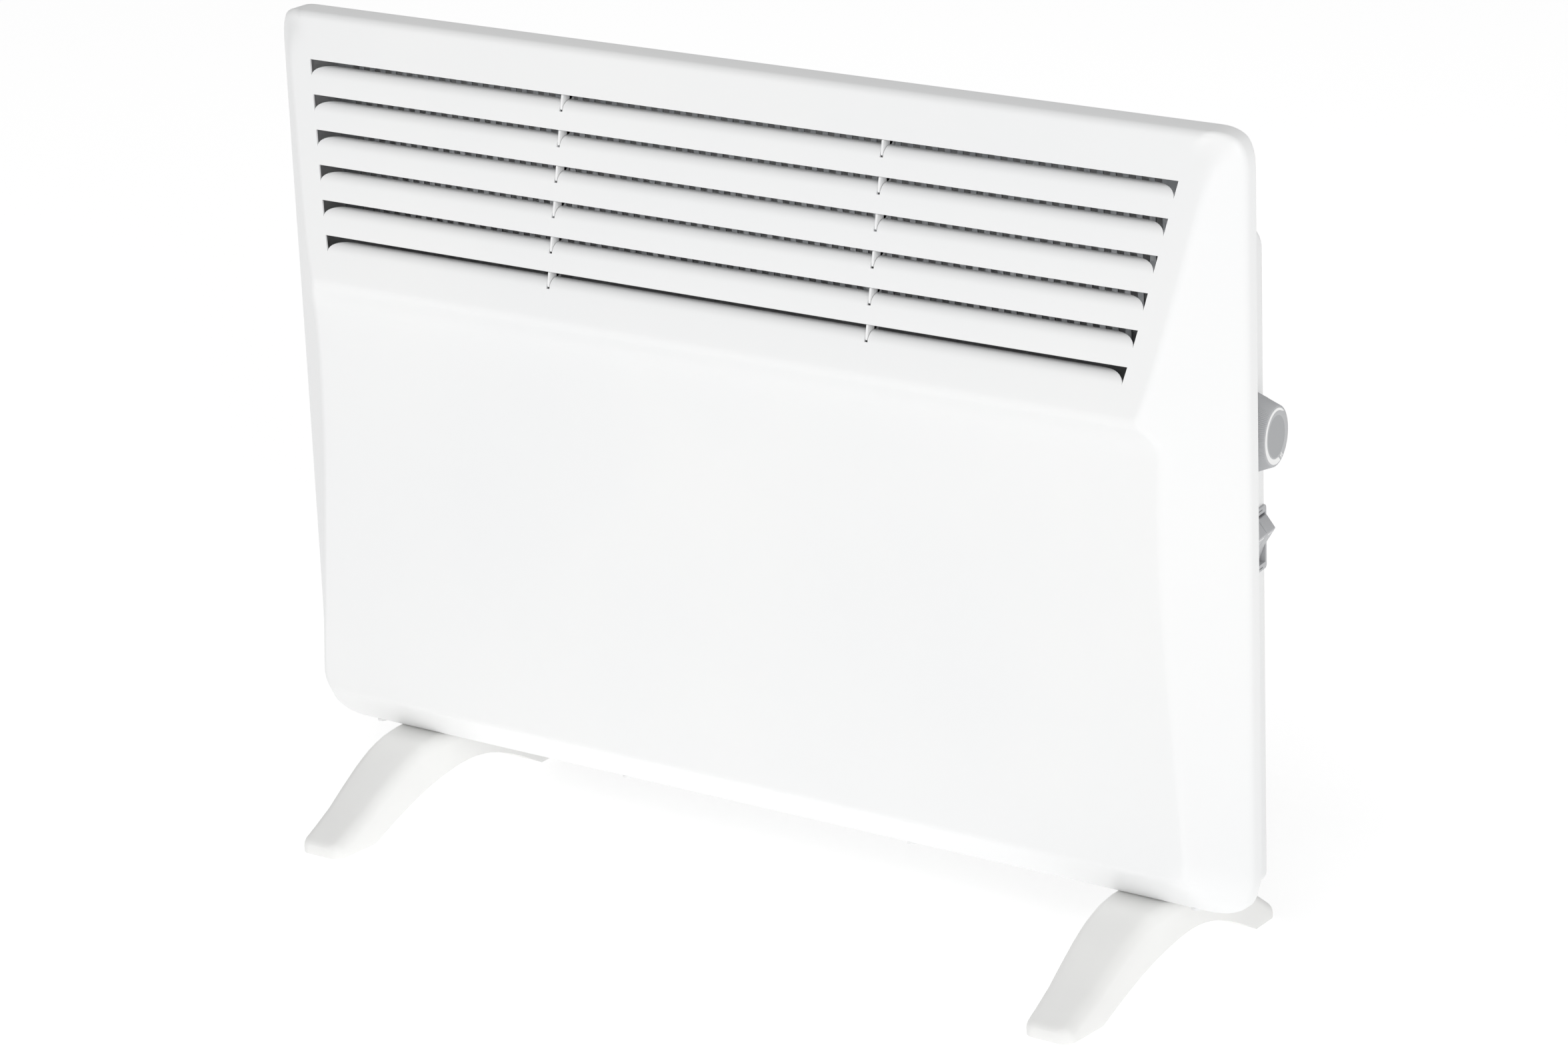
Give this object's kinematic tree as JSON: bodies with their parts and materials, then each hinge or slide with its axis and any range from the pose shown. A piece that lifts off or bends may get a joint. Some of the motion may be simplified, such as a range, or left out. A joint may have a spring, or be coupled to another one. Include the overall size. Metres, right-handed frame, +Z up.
{
  "type": "panel convector heater",
  "caption": "Free-standing panel convector heater with a louvred steel front, drafted rear housing, two arched feet, a thermostat knob and a twin rocker switch on its side.",
  "frame": {"origin": "on the floor, midway between the foot tips and in the middle of the width", "axes": "+Z up, +X along the width towards the control side, -Y is the louvred front"},
  "size_m": [0.595, 0.19, 0.4437],
  "materials": {
    "coated_steel": "satin powder coat, white",
    "zinc_steel": "zinc coated sheet",
    "foot_plastic": "white moulded plastic, fine texture",
    "screw_steel": "dark zinc plated steel",
    "control_plastic": "grey moulded plastic",
    "dark_plastic": "black moulded plastic",
    "contact_brass": "plain brass",
    "element_aluminium": "extruded, mill finish",
    "element_steel": "stainless sheath",
    "bush_ceramic": "unglazed ceramic",
    "gland_rubber": "black rubber"
  },
  "bodies": {
    "case": {"front_panel": "coated_steel", "rear_housing": "coated_steel", "louvre_rib_left": "coated_steel", "louvre_rib_right": "coated_steel", "guard_grille": "zinc_steel", "partition": "zinc_steel", "element_bracket_left": "zinc_steel", "element_bracket_right": "zinc_steel", "heat_shield": "zinc_steel", "foot_left": "foot_plastic", "foot_right": "foot_plastic", "foot_screws_left": "screw_steel", "foot_screws_right": "screw_steel", "case_screws": "coated_steel", "rocker_pin": "screw_steel", "switch_body": "control_plastic", "thermostat_body": "dark_plastic", "tilt_switch": "dark_plastic", "thermal_cutout": "dark_plastic", "terminal_block": "dark_plastic", "switch_blades": "contact_brass", "element_body": "element_aluminium", "element_rod": "element_steel", "bushing_left": "bush_ceramic", "bushing_right": "bush_ceramic", "cable_gland": "gland_rubber"},
    "knob": {"thermostat_shaft": "screw_steel", "knob": "control_plastic"},
    "rocker_front": {"rocker_front": "control_plastic"},
    "rocker_rear": {"rocker_rear": "control_plastic"}
  },
  "joints": [
    {"name": "knob_turn", "type": "hinge", "parent": "case", "child": "knob", "pos_m": [0.28019, 0.0223, 0.286], "axis": [-0.9914, -0.1305, 0], "range_deg": [0, 270]},
    {"name": "rocker_front_press", "type": "hinge", "parent": "case", "child": "rocker_front", "pos_m": [0.27881, 0.02893, 0.2278], "axis": [0.1305, -0.9914, 0], "range_deg": [0, 24]},
    {"name": "rocker_rear_press", "type": "hinge", "parent": "case", "child": "rocker_rear", "pos_m": [0.27881, 0.02893, 0.2278], "axis": [0.1305, -0.9914, 0], "range_deg": [0, 24]}
  ]
}
